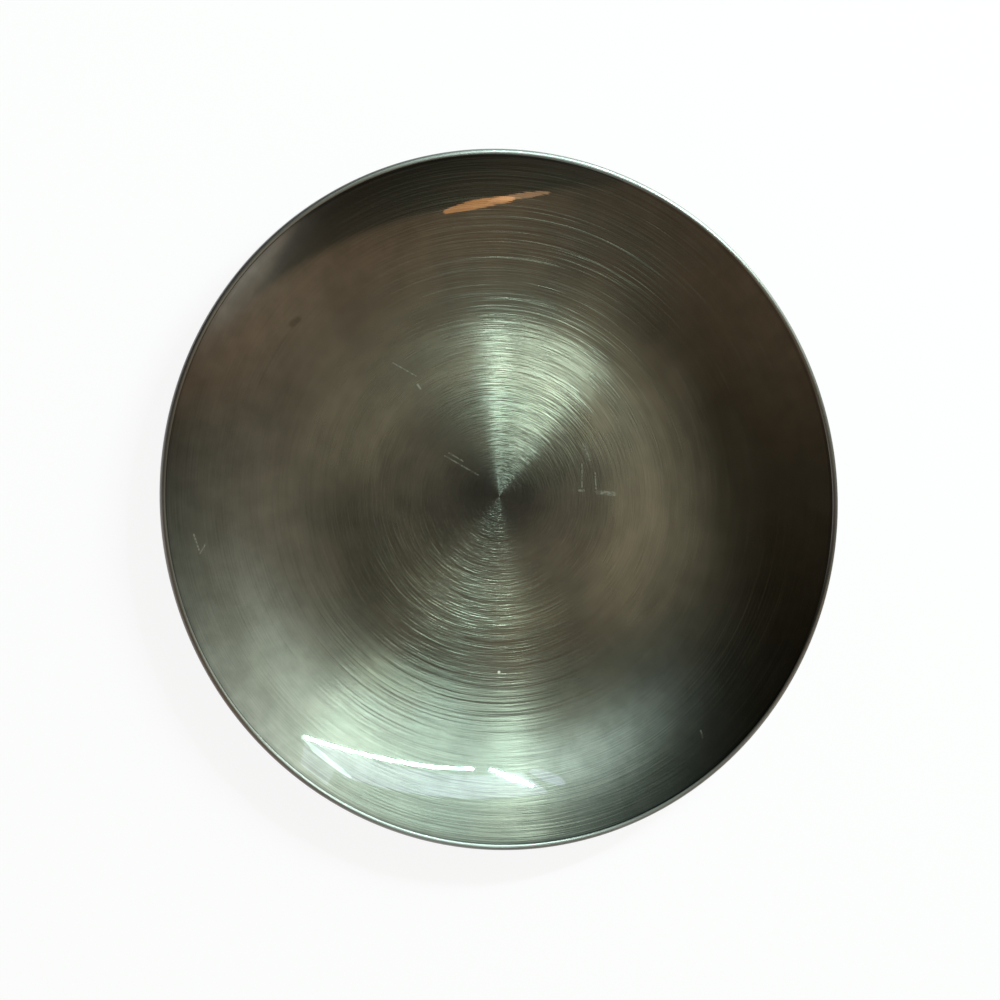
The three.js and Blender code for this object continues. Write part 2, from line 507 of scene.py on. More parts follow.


# %% [markdown]
# ### From the middle to the edge
# The metal's colour changes with the distance from the axis. It is darker in the middle of the well and
# brighter in a ring round it. This is painted reflection, standing in for the darker and brighter parts of
# the room that the well mirrors. All strokes together lean out a little in the well, which is why the upper
# half of the bow tie is brighter than the lower half, and they lean in on the wall. A painted mask would do
# for both. A colour ramp over the distance from the axis is easier to correct: each stop is a share of the
# platter's radius and the value there.

# %% Values that change with the distance from the axis
PAINTED_REFLECTION_BY_RADIUS = [
    (0.00, 0.48), (0.08, 0.55), (0.18, 0.95), (0.27, 1.52), (0.36, 1.66), (0.45, 1.30), (0.50, 1.15),
    (0.55, 0.80), (0.65, 0.87), (0.86, 1.05), (0.91, 0.85), (0.96, 0.68),
]
LEAN_BY_RADIUS = [
    (0.00, 0.040), (0.08, 0.052), (0.17, 0.066), (0.24, 0.046), (0.33, 0.037), (0.42, 0.052), (0.47, 0.068),
    (0.51, 0.020), (0.56, -0.085), (0.62, -0.105), (0.76, -0.084), (1.00, -0.025),
]


def by_radius(tree, radius, values):
    low = min(value for _, value in values)
    reach = max(value for _, value in values) - low
    ramp = add(tree, "ShaderNodeValToRGB", {"Fac": calc(tree, "DIVIDE", radius, PLATTER_RADIUS)})
    ramp.color_ramp.interpolation = "EASE"
    stops = ramp.color_ramp.elements
    while len(stops) < len(values):
        stops.new(1.0)
    for stop, (position, value) in zip(stops, values):
        stop.position = position
        level = (value - low) / reach
        stop.color = (level, level, level, 1)
    return calc(tree, "ADD", calc(tree, "MULTIPLY", ramp.outputs["Color"], reach), low)


def leaning_normal(tree, heading, onwards, lean, sway):
    tilt = vector(tree, "ADD", stretch(tree, heading, lean), stretch(tree, onwards, sway))
    normal = add(tree, "ShaderNodeNewGeometry").outputs["Normal"]
    return vector(tree, "NORMALIZE", vector(tree, "ADD", normal, tilt))


print("stops for the tone:", len(PAINTED_REFLECTION_BY_RADIUS), "and for the lean:", len(LEAN_BY_RADIUS))

# %% [markdown]
# ### Marks of use
# A used dish carries marks: a few thin scratches in the lacquer, a speck and a stain. They could be
# painted by hand. Here each mark is the distance from a short line, given by its two ends and its width,
# so it keeps its place at any size. Marks lie on the upper face only, and that is where the normal points
# up.

# %% Scratches, a speck and a stain
SCRATCHES = [
    ((-0.0265, 0.0203), (-0.0103, 0.0115), 0.0005), ((-0.0245, 0.0217), (-0.0177, 0.0180), 0.0005),
    ((-0.0520, 0.0640), (-0.0407, 0.0580), 0.0004), ((-0.0400, 0.0540), (-0.0385, 0.0520), 0.0006),
    ((0.0420, 0.0273), (0.0454, 0.0197), 0.0007), ((0.0414, 0.0177), (0.0414, 0.0066), 0.0004),
    ((0.0480, 0.0134), (0.0484, 0.0057), 0.0005), ((0.0400, 0.0049), (0.0424, 0.0049), 0.0007),
    ((0.0490, 0.0043), (0.0575, 0.0035), 0.0013), ((-0.1485, -0.0190), (-0.1460, -0.0260), 0.0006),
    ((-0.1455, -0.0275), (-0.1425, -0.0230), 0.0006), ((0.0965, -0.1100), (0.0970, -0.1135), 0.0005),
]
SPECK = ((0.0, -0.0822), (0.0001, -0.0822), 0.0008)
STAIN = ((-0.1020, 0.0800), (-0.0990, 0.0822), 0.0020)
MARK_CORE = 0.4
SCRATCH_STRENGTH = (0.03, 0.11)
SCRATCH_BREAKS = (700.0, 0.40, 0.60)
STAIN_STRENGTH = 0.5


def upper_face(tree):
    normal = add(tree, "ShaderNodeNewGeometry").outputs["Normal"]
    return calc(tree, "GREATER_THAN", vector(tree, "DOT_PRODUCT", normal, (0, 0, 1)), 0.0)


def line_mark(tree, flat, start, end, width):
    run = Vector((*end, 0)) - Vector((*start, 0))
    offset = vector(tree, "SUBTRACT", flat, (*start, 0))
    along = calc(tree, "DIVIDE", vector(tree, "DOT_PRODUCT", offset, run), run.length_squared)
    along = calc(tree, "MINIMUM", calc(tree, "MAXIMUM", along, 0.0), 1.0)
    away = vector(tree, "LENGTH", vector(tree, "SUBTRACT", offset, stretch(tree, run, along)))
    return remap(tree, away, width * MARK_CORE, width, 1.0, 0.0)


def thin_marks(tree, place):
    flat = vector(tree, "MULTIPLY", place, (1, 1, 0))
    broken = patches(tree, place, SCRATCH_BREAKS, *SCRATCH_STRENGTH, detail=1.0)
    scratched = line_mark(tree, flat, *SCRATCHES[0])
    for scratch in SCRATCHES[1:]:
        scratched = calc(tree, "MAXIMUM", scratched, line_mark(tree, flat, *scratch))
    pale = calc(tree, "MAXIMUM", product(tree, scratched, broken), line_mark(tree, flat, *SPECK))
    upper = upper_face(tree)
    stain = product(tree, line_mark(tree, flat, *STAIN), STAIN_STRENGTH, upper)
    return product(tree, pale, upper), stain


print("marks:", len(SCRATCHES), "scratches, a speck and a stain")

# %% [markdown]
# A film of dried water greys the well in clouds. A paler ring on two sides of the well's edge is painted
# reflection: a brighter reflection of the room, laid into the same film. Both could be a second layer of
# mesh. A little plain diffuse colour, mixed over the metal by a mask of rings and clouds, weighs nothing and
# never clips. A ring is given by four distances from the axis: where it starts, where it is full, where it
# begins to fade and where it ends.

# %% The film of dried water and a painted reflection
# The ring on two sides of the well's edge is painted reflection. The ring over the well and its clouds are
# the film.
PAINTED_REFLECTION_RING = (0.046, 0.068, 0.080, 0.118)
FILM_WELL = (0.008, 0.032, 0.095, 0.140)
PAINTED_REFLECTION_SIDES = [
    ((0.88, 0.47, 0), (0.0, 0.8), 0.10),
    ((-0.64, 0.77, 0), (0.5, 0.95), 0.08),
]
FILM_CLOUDS = (24.0, 0.36, 0.66)
FILM_THICKNESS = (0.024, 0.064)
FILM_AND_REFLECTION_ARCS = (0.009, 3.0, 71.0)
ARC_NOISE = (0.35, 0.65)
ARC_CHANGE = (0.84, 1.16)


def ring_share(tree, radius, start, full, fading, end):
    rise = share(tree, radius, start, full, "SMOOTHSTEP")
    return calc(tree, "MULTIPLY", rise, remap(tree, radius, fading, end, 1.0, 0.0, "SMOOTHSTEP"))


def side_share(tree, heading, towards, low, high):
    return share(tree, vector(tree, "DOT_PRODUCT", heading, towards), low, high, "SMOOTHSTEP")


def film_and_painted_reflection(tree, place, radius, heading):
    # The ring on two sides of the well's edge is painted reflection.
    sides = [product(tree, side_share(tree, heading, towards, *reach), amount)
             for towards, reach, amount in PAINTED_REFLECTION_SIDES]
    edge = product(tree, ring_share(tree, radius, *PAINTED_REFLECTION_RING), calc(tree, "MAXIMUM", *sides))
    clouds = patches(tree, place, FILM_CLOUDS, *FILM_THICKNESS, detail=2.0)
    well = product(tree, ring_share(tree, radius, *FILM_WELL), clouds)
    arcs = remap(tree, strokes(tree, radius, heading, FILM_AND_REFLECTION_ARCS), *ARC_NOISE, *ARC_CHANGE)
    return product(tree, total(tree, edge, well), arcs, upper_face(tree))


# %% [markdown]
# ### Colour and lean of the metal
# The metal is a dark grey that drifts between green and brown, and its tone over the radius is painted
# reflection. Fine lines tint it. Painted shade darkens the crease of the rolled edge, a real stain darkens
# one spot, and the roll itself is rubbed down to paler metal. The strokes then lean the normal: outwards and
# inwards for the flash of each groove, and a little along the circle, because no stroke is quite round.

# %% The colour of the metal
METAL_GREEN = (0.061, 0.062, 0.052, 1)
METAL_BROWN = (0.067, 0.061, 0.048, 1)
RUBBED_METAL = (0.26, 0.25, 0.245, 1)
COLOUR_PATCHES = (11.0, 0.38, 0.62)
WALL_START = (0.075, 0.095)
LINE_TINT = (0.75, 0.3)
BAND_TINT = (0.94, 1.06)
STAIN_AND_SHADE_TINT = 0.4


def metal_colour(tree, place, radius, brush, stain_and_crease_shade, rubbed):
    colour = blend_colour(tree, patches(tree, place, COLOUR_PATCHES), METAL_GREEN, METAL_BROWN)
    lined = product(tree, centred(tree, brush["lines"], 1.0), remap(tree, radius, *WALL_START, *LINE_TINT))
    # The ramp over the radius is painted reflection: darker in the middle of the well, brighter in a ring
    # round it.
    tone = product(
        tree, by_radius(tree, radius, PAINTED_REFLECTION_BY_RADIUS), total(tree, lined, 1.0),
        vary(tree, brush["bands"], *BAND_TINT), remap(tree, stain_and_crease_shade, 0.0, 1.0, 1.0, STAIN_AND_SHADE_TINT),
    )
    return blend_colour(tree, rubbed, tinted(tree, colour, tone), RUBBED_METAL)


# %% The lean of the metal
STROKE_LEANS = {"speckle": 0.24, "grain": 0.66, "short": 0.30, "long": 0.16}
WALL_CALM = 0.62
DEEP_LEAN = 0.18
WAVE_LEAN = 0.04
WAVE_SCALE = 24.0
DRIFT_SWAY = 0.03
BAND_SWAY = 0.02
STROKE_DEPTH = 4e-6


def brushed_normal(tree, place, radius, heading, onwards, brush):
    fine = total(tree, *[product(tree, brush[name], lean) for name, lean in STROKE_LEANS.items()])
    fine = product(tree, fine, remap(tree, radius, *WALL_START, 1.0, WALL_CALM))
    waves = centred(tree, cloud(tree, place, WAVE_SCALE, 1.0), WAVE_LEAN)
    deep = product(tree, brush["deep"], DEEP_LEAN)
    lean = total(tree, by_radius(tree, radius, LEAN_BY_RADIUS), fine, waves, deep)
    sway = total(tree, product(tree, brush["drift"], DRIFT_SWAY), centred(tree, brush["bands"], BAND_SWAY))
    return add(tree, "ShaderNodeBump", {
        "Height": total(tree, brush["short"], brush["long"]), "Strength": 1.0, "Distance": STROKE_DEPTH,
        "Normal": leaning_normal(tree, heading, onwards, lean, sway),
    }).outputs["Normal"]


# %% [markdown]
# ### Lacquer
# Clear lacquer gives the sharp reflections on top of the soft ones. A second skin of glass would cost far
# more and could clash with the metal. The shader's coat does it in one surface: it ripples gently, sinks a
# little into the strokes, and is mottled, so the reflections of the lamps have soft breaks. On the rubbed
# edge hardly any of it is left.

# %% The lacquer
LACQUER_IOR = 2.15
LACQUER_ROUGHNESS = 0.02
RIPPLE_SCALE = 90.0
RIPPLE_DEPTH = 1e-5
SUNK_LEAN = 0.006
MOTTLING = (90.0, 0.35, 0.65)
MOTTLED_GLOSS = (0.74, 1.0)
SUNK_GLOSS = (0.82, 1.0)
WORN_GLOSS = 0.2


def lacquer(tree, shader, place, heading, onwards, brush, worn):
    sunk = total(tree, brush["short"], brush["grain"])
    ripple = add(tree, "ShaderNodeBump", {
        "Height": cloud(tree, place, RIPPLE_SCALE, 1.0), "Strength": 1.0, "Distance": RIPPLE_DEPTH,
        "Normal": leaning_normal(tree, heading, onwards, product(tree, sunk, SUNK_LEAN), 0.0),
    })
    mottled = patches(tree, place, MOTTLING, *MOTTLED_GLOSS, detail=4.0)
    gloss = product(tree, mottled, vary_groove(tree, sunk, *SUNK_GLOSS),
                    remap(tree, worn, 0.0, 1.0, 1.0, WORN_GLOSS))
    dress(tree, shader, {
        "Coat Weight": gloss, "Coat Normal": ripple.outputs["Normal"],
        "Coat Roughness": LACQUER_ROUGHNESS, "Coat IOR": LACQUER_IOR,
    })


# %% [markdown]
# ### All of it together
# The brush didn't turn exactly round the axis and moved outwards as it went, so the strokes have their own
# centre and follow a slight spiral: the bow tie is turned a little. A quarter turn of the shader's
# anisotropy lays the spread of light across the strokes, less the small turn of the spiral.

# %% The lacquered metal
FILM_AND_REFLECTION_COLOUR = (0.60, 0.43, 0.30, 1)
BARE_SCRATCH = (0.80, 0.74, 0.64, 1)
SCRATCH_WHITENING = 12.0
BRUSH_CENTRE = (0.0002, 0.0016, 0)
SPIRAL_TURN = 0.011
ACROSS_STROKES = 0.25
BRUSHED_SPREAD = 0.94
METAL_ROUGHNESS = (0.24, 0.27)
RUBBED_ROUGHNESS = 0.08
# Where the painted shade in the crease of the rolled edge starts, is full, begins to fade and ends.
CREASE_SHADE = (0.1608, 0.1614, 0.1620, 0.1626)
RUBBED_EDGE = (0.1622, 0.1628)


def make_lacquered_metal():
    material, tree, shader = new_material("lacquered brushed metal")
    place = own_place(tree)
    radius, _ = round_place(tree, place)
    brushed, heading = round_place(tree, place, BRUSH_CENTRE)
    onwards = vector(tree, "CROSS_PRODUCT", (0, 0, 1), heading)
    brush = brush_strokes(tree, place, brushed, heading)
    pale, stain = thin_marks(tree, place)
    # Painted shade in the crease of the rolled edge, joined with the real stain.
    stain_and_crease_shade = calc(tree, "MAXIMUM", ring_share(tree, radius, *CREASE_SHADE), stain)
    rubbed = share(tree, radius, *RUBBED_EDGE)
    rough = vary_groove(tree, total(tree, brush["short"], brush["long"]), *METAL_ROUGHNESS)
    rough = total(tree, rough, product(tree, rubbed, RUBBED_ROUGHNESS))
    dress(tree, shader, {
        "Base Color": metal_colour(tree, place, radius, brush, stain_and_crease_shade, rubbed), "Roughness": rough,
        "Normal": brushed_normal(tree, place, radius, heading, onwards, brush), "Tangent": onwards,
        "Metallic": 1.0, "Anisotropic": BRUSHED_SPREAD,
        "Anisotropic Rotation": ACROSS_STROKES - SPIRAL_TURN,
    })
    lacquer(tree, shader, place, heading, onwards, brush, calc(tree, "MAXIMUM", stain, rubbed))
    whitened = calc(tree, "MINIMUM", product(tree, pale, SCRATCH_WHITENING), 1.0)
    # One diffuse layer carries the film, the painted reflection on two sides of the well's edge, and the
    # scratches.
    film_reflection_and_scratches = add(tree, "ShaderNodeBsdfDiffuse", {
        "Color": blend_colour(tree, whitened, FILM_AND_REFLECTION_COLOUR, BARE_SCRATCH),
    })
    film_and_reflection = film_and_painted_reflection(tree, place, radius, heading)
    lay_over(tree, total(tree, film_and_reflection, pale), shader, film_reflection_and_scratches)
    return material


lacquered_metal = make_lacquered_metal()
print("material:", lacquered_metal.name, "with", len(lacquered_metal.node_tree.nodes), "nodes")

# %% [markdown]
# ## Dish
# The dish is the spun sheet itself. Its outline and its finish are ready, so the tree only has to turn it.
# Edges that bend more than the sharp angle keep a hard line, which the cut end of the curl needs.

# %% Turn the dish
SHARP_ANGLE = math.radians(25)
DISH_SEGMENTS = 288
DISH_PATH = 0.1

dish = run_tree(outline_object("dish_spun", dish_points, False), single_tree, {
    "Segments": DISH_SEGMENTS, "Path Radius": DISH_PATH, "Sharp Angle": SHARP_ANGLE,
    "Material": lacquered_metal,
})
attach(dish, "root")
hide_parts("dish")

# %% [markdown]
# ## Edge wire
# The sheet is rolled round a wire, which keeps the rim stiff. The wire is drawn steel, so its marks run
# along its length. A curve with a round bevel would give the same ring. The turned form does it with the
# tree that is there already: a small circle carried round the axis.

# %% Drawn steel
STEEL_BRIGHT = (0.45, 0.45, 0.44, 1)
STEEL_DULL = (0.27, 0.26, 0.24, 1)
STEEL_PATCHES = (70.0, 0.40, 0.65)
DRAWING_MARKS = (0.00012, 6.0, 7.0)
DRAWING_DEPTH = 6e-6
DRAWING_TINT = (0.85, 1.15)
STEEL_ROUGHNESS = (0.28, 0.40)
DULL_ROUGHNESS = 0.12


def height_of(tree, place):
    return add(tree, "ShaderNodeSeparateXYZ", {"Vector": place}).outputs["Z"]


def make_drawn_steel():
    material, tree, shader = new_material("drawn steel")
    place = own_place(tree)
    radius, heading = round_place(tree, place)
    marks = strokes(tree, total(tree, radius, height_of(tree, place)), heading, DRAWING_MARKS)
    dull = patches(tree, place, STEEL_PATCHES)
    colour = blend_colour(tree, dull, STEEL_BRIGHT, STEEL_DULL)
    rough = total(tree, vary(tree, marks, *STEEL_ROUGHNESS), product(tree, dull, DULL_ROUGHNESS))
    dress(tree, shader, {
        "Base Color": tinted(tree, colour, vary(tree, marks, *DRAWING_TINT)), "Roughness": rough,
        "Metallic": 1.0,
    })
    carve(tree, shader, marks, DRAWING_DEPTH)
    return material


# %% The wire in the rolled edge
WIRE_SIDES = 24

wire_points = arc(curl_centre, WIRE_RADIUS, 0, 2 * math.pi, WIRE_SIDES)[:-1]
wire = run_tree(outline_object("edge_wire", wire_points, True), single_tree, {
    "Segments": DISH_SEGMENTS, "Path Radius": DISH_PATH, "Sharp Angle": SHARP_ANGLE,
    "Material": make_drawn_steel(),
})
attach(wire, "root")
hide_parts("rim_wire")

# %% [markdown]
# ## Foot ring
# The dish stands on a low ring, bent from strip to a channel that opens inwards and brazed to the
# underside of the well. Six holes through its lower flange take the bumpers. The holes could be cut by
# hand with a Boolean modifier. In the tree the drills are copies of one cylinder on the points of a
# circle, so their number is one input.

# %% The tree for a turned ring with holes
DRILL_SIDES = 48
FOOT_INPUTS = TURNED_INPUTS + [
    ("Hole Count", "NodeSocketInt"),
    ("Hole Circle", "NodeSocketFloat"),
    ("Hole Radius", "NodeSocketFloat"),
    ("Hole Depth", "NodeSocketFloat"),
    ("Hole Level", "NodeSocketFloat"),
    ("Material", "NodeSocketMaterial"),
]


def on_circle(tree, count, radius, thing):
    points = add(tree, "GeometryNodeMeshCircle", {"Vertices": count, "Radius": radius}).outputs[0]
    copies = add(tree, "GeometryNodeInstanceOnPoints", {"Points": points, "Instance": thing}).outputs[0]
    return add(tree, "GeometryNodeRealizeInstances", {"Geometry": copies}).outputs[0]


def build_foot_tree():
    tree, given = new_geometry_tree("turned ring with holes", FOOT_INPUTS)
    drill = add(tree, "GeometryNodeMeshCylinder", {
        "Vertices": DRILL_SIDES, "Radius": given["Hole Radius"], "Depth": given["Hole Depth"],
    }).outputs["Mesh"]
    level = add(tree, "ShaderNodeCombineXYZ", {"Z": given["Hole Level"]}).outputs[0]
    raised = add(tree, "GeometryNodeTransform", {"Geometry": drill, "Translation": level}).outputs[0]
    drills = on_circle(tree, given["Hole Count"], given["Hole Circle"], raised)
    cut = add(tree, "GeometryNodeMeshBoolean", {
        "Mesh 1": turn_inside(tree, given), "Mesh 2": drills,
    }, operation="DIFFERENCE", solver="EXACT").outputs["Mesh"]
    return give(tree, coat(tree, crease(tree, cut, given["Sharp Angle"]), given["Material"]))


foot_tree = build_foot_tree()
print("tree:", foot_tree.name, "with", len(foot_tree.nodes), "nodes")

# %% The outline of the channel
FOOT_OUTER = 0.074
FOOT_INNER = 0.061
FOOT_SHEET = 0.001
FOOT_BEND = 0.0006
EDGE_SOFTNESS = 0.0002
SOFT_STEPS = 3
OUTER_BEND_STEPS = 8
INNER_BEND_STEPS = 6


def soft_corner(corner, across, up):
    start = {(1, 1): math.pi, (-1, 1): -QUARTER, (-1, -1): 0.0, (1, -1): QUARTER}[across, up]
    centre = (corner[0] + across * EDGE_SOFTNESS, corner[1] + up * EDGE_SOFTNESS)
    return arc(centre, EDGE_SOFTNESS, start, start + QUARTER, SOFT_STEPS)


def foot_outline():
    bend = FOOT_BEND + FOOT_SHEET
    low, high = (FOOT_OUTER - bend, HEAD_HEIGHT + bend), (FOOT_OUTER - bend, underside - bend)
    points = soft_corner((FOOT_INNER, HEAD_HEIGHT), 1, 1)
    points += arc(low, bend, -QUARTER, 0, OUTER_BEND_STEPS)
    points += arc(high, bend, 0, QUARTER, OUTER_BEND_STEPS)
    points += soft_corner((FOOT_INNER, underside), 1, -1)
    points += soft_corner((FOOT_INNER, underside - FOOT_SHEET), 1, 1)
    points += arc(high, FOOT_BEND, QUARTER, 0, INNER_BEND_STEPS)
    points += arc(low, FOOT_BEND, 0, -QUARTER, INNER_BEND_STEPS)
    points += soft_corner((FOOT_INNER, HEAD_HEIGHT + FOOT_SHEET), 1, -1)
    return points


foot_points = foot_outline()
print("foot ring outline:", len(foot_points), "points")

# %% [markdown]
# The foot has the same metal and lacquer as the dish, but nobody polishes it: its grain is coarser, the
# heat of the brazing has browned it next to the dish, and its lower bend is scuffed pale where it knocks
# against other things. Each of these could be a painted mask. Height and distance from the axis say where
# they belong, and noise breaks them.

# %% The satin metal of the foot
FOOT_METAL = (0.118, 0.114, 0.096, 1)
FOOT_BROWNED = (0.125, 0.092, 0.058, 1)
FOOT_SCUFFED = (0.30, 0.30, 0.28, 1)
FOOT_GRAIN = (0.00035, 7.0, 5.0)
FOOT_GRAIN_DEPTH = 2e-5
FOOT_TINT = (0.85, 1.15)
FOOT_ROUGHNESS = (0.30, 0.40)
SCUFF_ROUGHNESS = 0.12
BROWN_PATCHES = (45.0, 0.35, 0.60)
LEAST_BROWNED = 0.3
SCUFF_PATCHES = (160.0, 0.45, 0.62)
BROWNED_HEIGHT = (0.0052, 0.0068)
SCUFFED_HEIGHT = (0.0036, 0.0022)
SCUFFED_RADIUS = (0.0715, 0.0735)
FOOT_SETTINGS = {
    "Metallic": 1.0, "Anisotropic": 0.7, "Anisotropic Rotation": ACROSS_STROKES,
    "Coat Weight": 0.6, "Coat Roughness": 0.15, "Coat IOR": 1.5,
}


def make_satin_metal():
    material, tree, shader = new_material("satin metal")
    place = own_place(tree)
    radius, heading = round_place(tree, place)
    height = height_of(tree, place)
    grain = strokes(tree, total(tree, radius, height), heading, FOOT_GRAIN)
    browned = product(tree, share(tree, height, *BROWNED_HEIGHT),
                      patches(tree, place, BROWN_PATCHES, LEAST_BROWNED))
    scuffed = product(tree, share(tree, height, *SCUFFED_HEIGHT), share(tree, radius, *SCUFFED_RADIUS),
                      patches(tree, place, SCUFF_PATCHES))
    colour = blend_colour(tree, browned, FOOT_METAL, FOOT_BROWNED)
    colour = tinted(tree, colour, vary(tree, grain, *FOOT_TINT))
    rough = total(tree, vary(tree, grain, *FOOT_ROUGHNESS), product(tree, scuffed, SCUFF_ROUGHNESS))
    tangent = add(tree, "ShaderNodeTangent", direction_type="RADIAL", axis="Z").outputs["Tangent"]
    dress(tree, shader, {
        "Base Color": blend_colour(tree, scuffed, colour, FOOT_SCUFFED), "Roughness": rough,
        "Tangent": tangent,
    })
    dress(tree, shader, FOOT_SETTINGS)
    carve(tree, shader, grain, FOOT_GRAIN_DEPTH)
    return material


# %% The foot ring itself
BUMPER_CIRCLE = 0.0667
BUMPER_COUNT = 6
HOLE_RADIUS = 0.0022
FOOT_SEGMENTS = 192
FOOT_PATH = 0.05

foot = run_tree(outline_object("foot_channel", foot_points, True), foot_tree, {
    "Segments": FOOT_SEGMENTS, "Path Radius": FOOT_PATH, "Sharp Angle": SHARP_ANGLE,
    "Hole Count": BUMPER_COUNT, "Hole Circle": BUMPER_CIRCLE, "Hole Radius": HOLE_RADIUS,
    "Hole Depth": 2 * FOOT_SHEET, "Hole Level": HEAD_HEIGHT + FOOT_SHEET / 2,
    "Material": make_satin_metal(),
})
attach(foot, "root")
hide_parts("foot_ring")

# %% [markdown]
# ## Bumpers
# Six soft bumpers keep the metal off the table. Each is moulded in one piece: a round head, a stem a
# little longer than the flange is thick, and a barb that was pushed through the hole. They could be copied
# by hand. Copies on the points of a circle, made real at the end of the tree, stay in step with the holes.

# %% The tree for turned bumpers in a circle
BUMPER_INPUTS = TURNED_INPUTS + [
    ("Bumper Count", "NodeSocketInt"),
    ("Bumper Circle", "NodeSocketFloat"),
    ("Material", "NodeSocketMaterial"),
]


def build_bumper_tree():
    tree, given = new_geometry_tree("turned bumpers in a circle", BUMPER_INPUTS)
    bumpers = on_circle(tree, given["Bumper Count"], given["Bumper Circle"], turn_inside(tree, given))
    return give(tree, coat(tree, bumpers, given["Material"]))


bumper_tree = build_bumper_tree()
print("tree:", bumper_tree.name, "with", len(bumper_tree.nodes), "nodes")

# %% The outline of a bumper
BUMPER_HEAD = 0.005
BUMPER_EDGE = 0.001
BUMPER_RECESS = (0.0022, 0.0003)
BUMPER_STEM = 0.002
BARB_LEVEL = 0.0031
BARB_RADIUS = 0.0027
TIP_RADIUS = 0.0013
TIP_LEVEL = 0.0045
RECESS_STEPS = 4
HEAD_STEPS = 8


def bumper_outline():
    recess, depth = BUMPER_RECESS
    points = [(0, depth), (recess - depth, depth)]
    points += arc((recess - depth, 0), depth, QUARTER, 0, RECESS_STEPS)[1:]
    points += arc((BUMPER_HEAD - BUMPER_EDGE, BUMPER_EDGE), BUMPER_EDGE, -QUARTER, 0, HEAD_STEPS)
    points += soft_corner((BUMPER_HEAD, HEAD_HEIGHT), -1, -1)
    points += [(BUMPER_STEM, HEAD_HEIGHT), (BUMPER_STEM, BARB_LEVEL)]
    points += soft_corner((BARB_RADIUS, BARB_LEVEL), -1, 1)
    points += soft_corner((TIP_RADIUS, TIP_LEVEL), -1, -1)
    return points + [(0, TIP_LEVEL)]


bumper_points = bumper_outline()
print("bumper outline:", len(bumper_points), "points")

# %% [markdown]
# Moulded rubber is matt and very dark, with a fine grain from the mould. Dust greys it in patches, and the
# ring that bears on the table is rubbed paler than the rest. One plain colour would do from afar. Three
# greys, mixed by noise and by height, still look like rubber from close by.

# %% Moulded rubber
RUBBER_BLACK = (0.018, 0.018, 0.018, 1)
RUBBER_GREY = (0.040, 0.039, 0.037, 1)
RUBBER_RUBBED = (0.085, 0.082, 0.076, 1)
RUBBER_ROUGHNESS = (0.58, 0.80)
RUBBER_GRAIN = 2600.0
RUBBER_GRAIN_DEPTH = 4e-5
DUST_PATCHES = (420.0, 0.45, 0.70)
BEARING_PATCHES = (900.0, 0.35, 0.60)
LEAST_RUBBED = 0.2
BEARING_HEIGHT = 0.0004


def make_rubber():
    material, tree, shader = new_material("moulded rubber")
    place = own_place(tree)
    grain = cloud(tree, place, RUBBER_GRAIN, 2.0)
    dust = patches(tree, place, DUST_PATCHES)
    bearing = product(tree, remap(tree, height_of(tree, place), 0.0, BEARING_HEIGHT, 1.0, 0.0),
                      patches(tree, place, BEARING_PATCHES, LEAST_RUBBED))
    colour = blend_colour(tree, dust, RUBBER_BLACK, RUBBER_GREY)
    dress(tree, shader, {
        "Base Color": blend_colour(tree, bearing, colour, RUBBER_RUBBED),
        "Roughness": vary(tree, grain, *RUBBER_ROUGHNESS),
    })
    carve(tree, shader, grain, RUBBER_GRAIN_DEPTH)
    return material


# %% The bumpers
BUMPER_SEGMENTS = 48
BUMPER_PATH = 0.003

bumpers = run_tree(outline_object("bumpers", bumper_points, False), bumper_tree, {
    "Segments": BUMPER_SEGMENTS, "Path Radius": BUMPER_PATH, "Sharp Angle": SHARP_ANGLE,
    "Bumper Count": BUMPER_COUNT, "Bumper Circle": BUMPER_CIRCLE, "Material": make_rubber(),
})
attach(bumpers, "root")
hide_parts(*["bumper_%d" % (i + 1) for i in range(BUMPER_COUNT)])

# %% [markdown]
# ## Floor
# The photo's platter stands free on white. A cut-out background would do for one picture. A pale floor
# gives the white in every view and keeps the shadow: most of what the camera and the reflections see of it
# is plain white, and the rest is paint that the platter can darken.

# %% A pale floor
FLOOR_REACH = 6.0
FLOOR_PAINT = (0.88, 0.86, 0.87, 1)
FLOOR_ROUGHNESS = 0.9
FLOOR_LIFT = 0.9


def make_floor_paint():
    material, tree, shader = new_material("pale floor")
    dress(tree, shader, {
        "Base Color": FLOOR_PAINT, "Roughness": FLOOR_ROUGHNESS, "Specular IOR Level": 0.0,
    })
    white = add(tree, "ShaderNodeEmission", {"Color": (1, 1, 1, 1), "Strength": 1.0})
    ray = add(tree, "ShaderNodeLightPath").outputs
    seen = total(tree, ray["Is Camera Ray"], ray["Is Glossy Ray"], ray["Is Transmission Ray"])
    lay_over(tree, product(tree, calc(tree, "MINIMUM", seen, 1.0), FLOOR_LIFT), shader, white)
    return material


floor_mesh = bpy.data.meshes.new("floor")
floor_mesh.from_pydata(
    [(-FLOOR_REACH, -FLOOR_REACH, 0), (FLOOR_REACH, -FLOOR_REACH, 0),
     (FLOOR_REACH, FLOOR_REACH, 0), (-FLOOR_REACH, FLOOR_REACH, 0)], [], [(0, 1, 2, 3)])
floor_mesh.materials.append(make_floor_paint())
floor = bpy.data.objects.new("floor", floor_mesh)
bpy.context.scene.collection.objects.link(floor)
print("floor:", 2 * FLOOR_REACH, "metres wide")

# %% [markdown]
# ## Lamps
# The light in the photo is a ceiling panel edged with bright strips, up and to the right: the strips draw
# the sharp reflection on the lower wall and the bow tie in the well, and the panel fills the reflection
# between them. A warm lamp on the far side leaves the orange streak at the top. Each is an area lamp,
# given by the two ends of its middle line as slopes from the platter, then its width, its brightness and
# its tint. Lamps that overlap hang at slightly different heights, because at one height a reflection shows
# only one of them.

